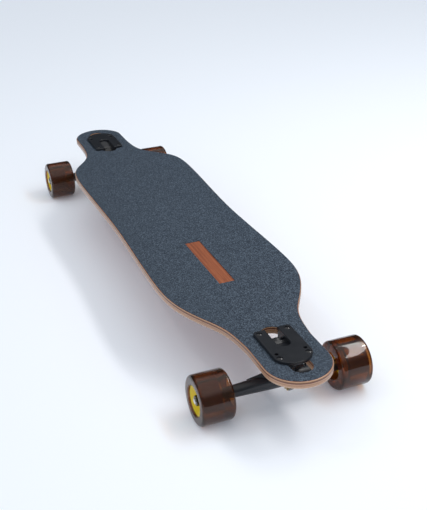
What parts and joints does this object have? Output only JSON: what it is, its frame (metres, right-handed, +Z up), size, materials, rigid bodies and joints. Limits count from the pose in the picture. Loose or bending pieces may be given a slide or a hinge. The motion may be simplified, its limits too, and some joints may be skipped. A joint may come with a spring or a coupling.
{
  "type": "longboard skateboard",
  "caption": "Drop-through longboard: concave plywood deck with grip tape, reverse-kingpin trucks that steer by leaning, and translucent rolling wheels.",
  "frame": {"origin": "on the ground under the middle of the deck, which is the middle of the part's base", "axes": "+X along the board to its nose, +Y to the rider's left when facing the nose, +Z up"},
  "size_m": [1.016, 0.2502, 0.105],
  "materials": {
    "plywood": "clear-coated maple plywood, showing its plies at the edge",
    "grip_tape": "dark blue-grey silicon carbide grit on a sheet, matt with fine sparkle",
    "black_casting": "satin black powder coat on cast aluminium",
    "black_steel": "black oxide steel, semi-gloss",
    "zinc_steel": "yellow zinc-plated steel",
    "bright_steel": "bright turned steel",
    "bushing_urethane": "black cast urethane",
    "pivot_nylon": "black nylon",
    "amber_urethane": "translucent amber-brown cast urethane, glossy",
    "yellow_core": "translucent yellow moulded plastic",
    "shield_steel": "pressed steel bearing shield",
    "ball_steel": "polished bearing steel",
    "cage_nylon": "natural glass-filled nylon"
  },
  "bodies": {
    "deck": {"deck": "plywood", "grip_tape": "grip_tape", "front_baseplate": "black_casting", "front_deck_bolts": "black_steel", "front_deck_nuts": "black_steel", "front_kingpin": "black_steel", "front_kingpin_nut": "zinc_steel", "front_boardside_bushing": "bushing_urethane", "front_roadside_bushing": "bushing_urethane", "front_bushing_washers": "black_steel", "front_pivot_cup": "pivot_nylon", "rear_baseplate": "black_casting", "rear_deck_bolts": "black_steel", "rear_deck_nuts": "black_steel", "rear_kingpin": "black_steel", "rear_kingpin_nut": "zinc_steel", "rear_boardside_bushing": "bushing_urethane", "rear_roadside_bushing": "bushing_urethane", "rear_bushing_washers": "black_steel", "rear_pivot_cup": "pivot_nylon"},
    "front_hanger": {"front_hanger": "black_casting", "front_axle": "bright_steel", "front_axle_nuts": "black_steel", "front_speed_washers": "bright_steel", "front_bearing_spacers": "bright_steel", "front_bearing_inner_rings": "bright_steel"},
    "front_left_wheel": {"front_left_tyre": "amber_urethane", "front_left_core": "yellow_core", "front_left_bearing_outer_rings": "bright_steel", "front_left_bearing_shields": "shield_steel"},
    "front_left_balls": {"front_left_bearing_balls": "ball_steel", "front_left_bearing_cages": "cage_nylon"},
    "front_right_wheel": {"front_right_tyre": "amber_urethane", "front_right_core": "yellow_core", "front_right_bearing_outer_rings": "bright_steel", "front_right_bearing_shields": "shield_steel"},
    "front_right_balls": {"front_right_bearing_balls": "ball_steel", "front_right_bearing_cages": "cage_nylon"},
    "rear_hanger": {"rear_hanger": "black_casting", "rear_axle": "bright_steel", "rear_axle_nuts": "black_steel", "rear_speed_washers": "bright_steel", "rear_bearing_spacers": "bright_steel", "rear_bearing_inner_rings": "bright_steel"},
    "rear_left_wheel": {"rear_left_tyre": "amber_urethane", "rear_left_core": "yellow_core", "rear_left_bearing_outer_rings": "bright_steel", "rear_left_bearing_shields": "shield_steel"},
    "rear_left_balls": {"rear_left_bearing_balls": "ball_steel", "rear_left_bearing_cages": "cage_nylon"},
    "rear_right_wheel": {"rear_right_tyre": "amber_urethane", "rear_right_core": "yellow_core", "rear_right_bearing_outer_rings": "bright_steel", "rear_right_bearing_shields": "shield_steel"},
    "rear_right_balls": {"rear_right_bearing_balls": "ball_steel", "rear_right_bearing_cages": "cage_nylon"}
  },
  "joints": [
    {"name": "front_steer", "type": "hinge", "parent": "deck", "child": "front_hanger", "pos_m": [0.42145, 0, 0.06134], "axis": [0.6428, 0, 0.766], "range_deg": [-15, 15], "stiffness_Nm_per_rad": 40, "deforming": ["front_boardside_bushing", "front_roadside_bushing"]},
    {"name": "front_left_spin", "type": "hinge", "parent": "front_hanger", "child": "front_left_wheel", "pos_m": [0.4124, 0, 0.035], "axis": [0, 1, 0], "continuous": true},
    {"name": "front_left_ball_roll", "type": "hinge", "parent": "front_hanger", "child": "front_left_balls", "pos_m": [0.4124, 0, 0.035], "axis": [0, 1, 0], "continuous": true},
    {"name": "front_right_spin", "type": "hinge", "parent": "front_hanger", "child": "front_right_wheel", "pos_m": [0.4124, 0, 0.035], "axis": [0, 1, 0], "continuous": true},
    {"name": "front_right_ball_roll", "type": "hinge", "parent": "front_hanger", "child": "front_right_balls", "pos_m": [0.4124, 0, 0.035], "axis": [0, 1, 0], "continuous": true},
    {"name": "rear_steer", "type": "hinge", "parent": "deck", "child": "rear_hanger", "pos_m": [-0.42145, 0, 0.06134], "axis": [-0.6428, 0, 0.766], "range_deg": [-15, 15], "stiffness_Nm_per_rad": 40, "deforming": ["rear_boardside_bushing", "rear_roadside_bushing"]},
    {"name": "rear_left_spin", "type": "hinge", "parent": "rear_hanger", "child": "rear_left_wheel", "pos_m": [-0.4124, 0, 0.035], "axis": [0, 1, 0], "continuous": true},
    {"name": "rear_left_ball_roll", "type": "hinge", "parent": "rear_hanger", "child": "rear_left_balls", "pos_m": [-0.4124, 0, 0.035], "axis": [0, 1, 0], "continuous": true},
    {"name": "rear_right_spin", "type": "hinge", "parent": "rear_hanger", "child": "rear_right_wheel", "pos_m": [-0.4124, 0, 0.035], "axis": [0, 1, 0], "continuous": true},
    {"name": "rear_right_ball_roll", "type": "hinge", "parent": "rear_hanger", "child": "rear_right_balls", "pos_m": [-0.4124, 0, 0.035], "axis": [0, 1, 0], "continuous": true}
  ],
  "couplings": [
    {"joint": "front_left_ball_roll", "follows": "front_left_spin", "ratio": 0.632},
    {"joint": "front_right_ball_roll", "follows": "front_right_spin", "ratio": 0.632},
    {"joint": "rear_left_ball_roll", "follows": "rear_left_spin", "ratio": 0.632},
    {"joint": "rear_right_ball_roll", "follows": "rear_right_spin", "ratio": 0.632}
  ]
}
